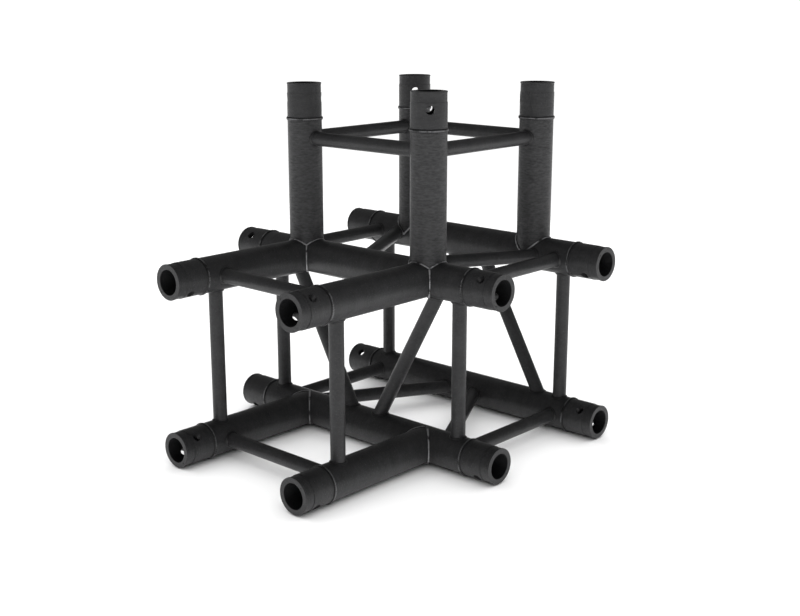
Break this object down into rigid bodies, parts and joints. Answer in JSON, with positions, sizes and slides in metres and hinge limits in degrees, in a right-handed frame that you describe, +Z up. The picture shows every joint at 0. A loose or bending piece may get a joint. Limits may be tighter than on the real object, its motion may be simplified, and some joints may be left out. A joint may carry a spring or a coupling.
{
  "type": "lighting truss corner section",
  "caption": "Welded black box-truss corner: a straight run with a side stem and an upright leg, braced tubes and conical coupler sockets on every tube end.",
  "frame": {"origin": "on the ground, under the middle of the corner's bounding box, standing on its lower chords", "axes": "+Z up along the upright leg, X along the through run, the stem points to -Y; the near run chords are the ones the stem is welded to"},
  "size_m": [0.5, 0.5236, 0.5197],
  "materials": {
    "main_tube": "satin black powder coat on drawn aluminium tube",
    "brace_tube": "satin black powder coat on drawn aluminium tube",
    "receiver": "satin black powder coat on turned aluminium",
    "weld": "satin black powder coat on rippled weld beads"
  },
  "bodies": {
    "root": {"run_chord_near_lower": "main_tube", "run_chord_near_upper": "main_tube", "run_chord_far_lower": "main_tube", "run_chord_far_upper": "main_tube", "stem_chord_left_lower": "main_tube", "stem_chord_left_upper": "main_tube", "stem_chord_right_lower": "main_tube", "stem_chord_right_upper": "main_tube", "leg_tube_near_left": "main_tube", "leg_tube_near_right": "main_tube", "leg_tube_far_left": "main_tube", "leg_tube_far_right": "main_tube", "receiver_left_near_lower": "receiver", "receiver_left_near_upper": "receiver", "receiver_left_far_lower": "receiver", "receiver_left_far_upper": "receiver", "receiver_right_near_lower": "receiver", "receiver_right_near_upper": "receiver", "receiver_right_far_lower": "receiver", "receiver_right_far_upper": "receiver", "receiver_stem_left_lower": "receiver", "receiver_stem_left_upper": "receiver", "receiver_stem_right_lower": "receiver", "receiver_stem_right_upper": "receiver", "receiver_leg_near_left": "receiver", "receiver_leg_far_left": "receiver", "receiver_leg_near_right": "receiver", "receiver_leg_far_right": "receiver", "post_left_near": "brace_tube", "post_left_far": "brace_tube", "post_right_near": "brace_tube", "post_right_far": "brace_tube", "post_stem_left": "brace_tube", "post_stem_right": "brace_tube", "end_brace_left_lower": "brace_tube", "end_brace_left_upper": "brace_tube", "end_brace_right_lower": "brace_tube", "end_brace_right_upper": "brace_tube", "end_brace_stem_lower": "brace_tube", "end_brace_stem_upper": "brace_tube", "ring_brace_near": "brace_tube", "ring_brace_far": "brace_tube", "ring_brace_left": "brace_tube", "ring_brace_right": "brace_tube", "diagonal_near_left": "brace_tube", "diagonal_near_right": "brace_tube", "diagonal_far_left": "brace_tube", "diagonal_far_right": "brace_tube", "diagonal_top_left": "brace_tube", "diagonal_top_right": "brace_tube", "diagonal_bottom_left": "brace_tube", "diagonal_bottom_right": "brace_tube", "girth_welds_left": "weld", "girth_welds_right": "weld", "girth_welds_stem": "weld", "girth_welds_leg": "weld", "node_welds": "weld", "post_brace_welds": "weld", "cross_brace_welds": "weld", "diagonal_brace_welds": "weld"}
  },
  "joints": []
}
